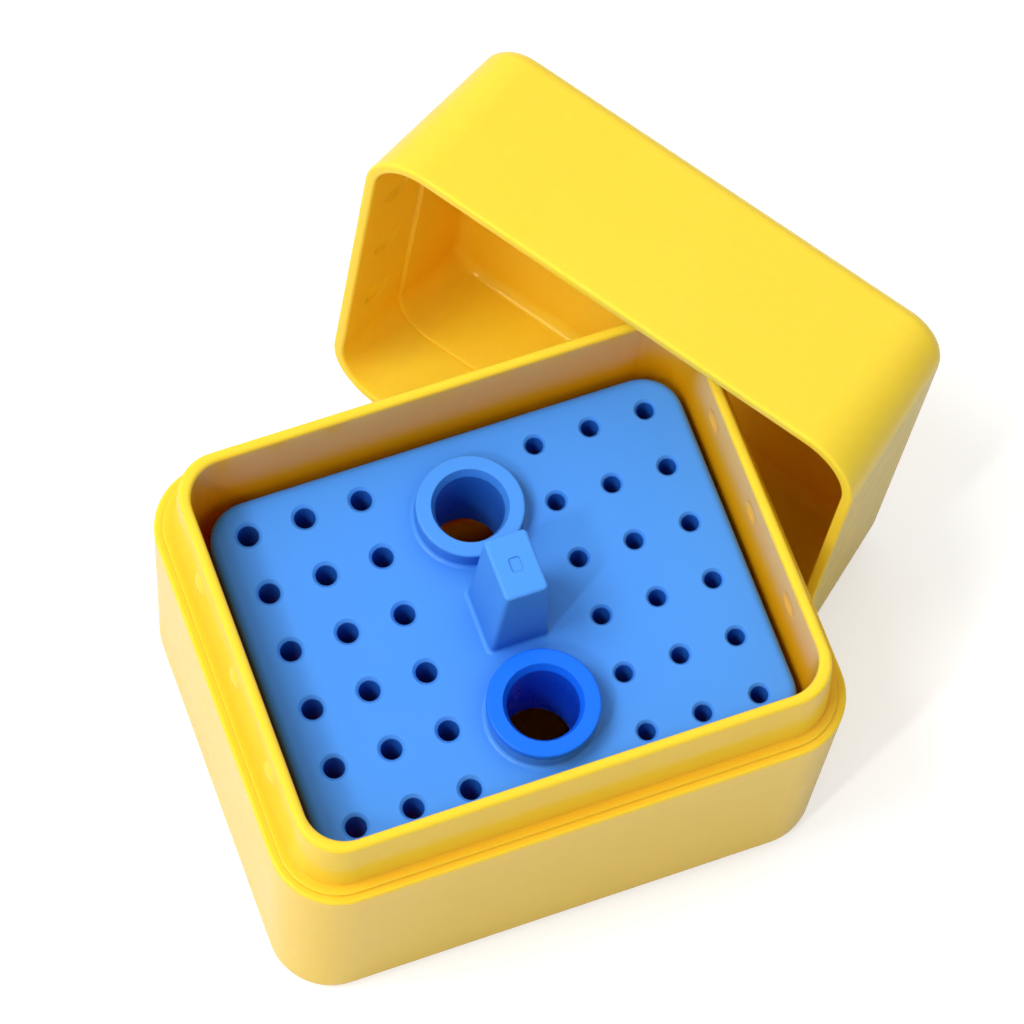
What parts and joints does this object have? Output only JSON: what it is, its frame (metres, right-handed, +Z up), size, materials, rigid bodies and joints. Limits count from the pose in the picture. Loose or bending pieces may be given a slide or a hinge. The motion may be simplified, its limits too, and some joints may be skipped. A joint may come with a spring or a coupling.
{
  "type": "endodontic file box",
  "caption": "Dental endodontic file box with a countersunk file rack, lifting tab, two wells, a bush and a loose lid standing beside it.",
  "frame": {"origin": "centre of the base's underside", "axes": "+Z up through the open mouth of the base, +X along the long side from the large file holes to the small ones, +Y to the back"},
  "size_m": [0.084, 0.0824, 0.0503],
  "materials": {
    "amber_shell": "glossy",
    "blue_rack": "satin",
    "blue_bush": "satin",
    "amber_lid": "glossy"
  },
  "bodies": {
    "root": {"base": "amber_shell", "file_rack": "blue_rack", "well_bush": "blue_bush", "lid": "amber_lid"}
  },
  "joints": []
}
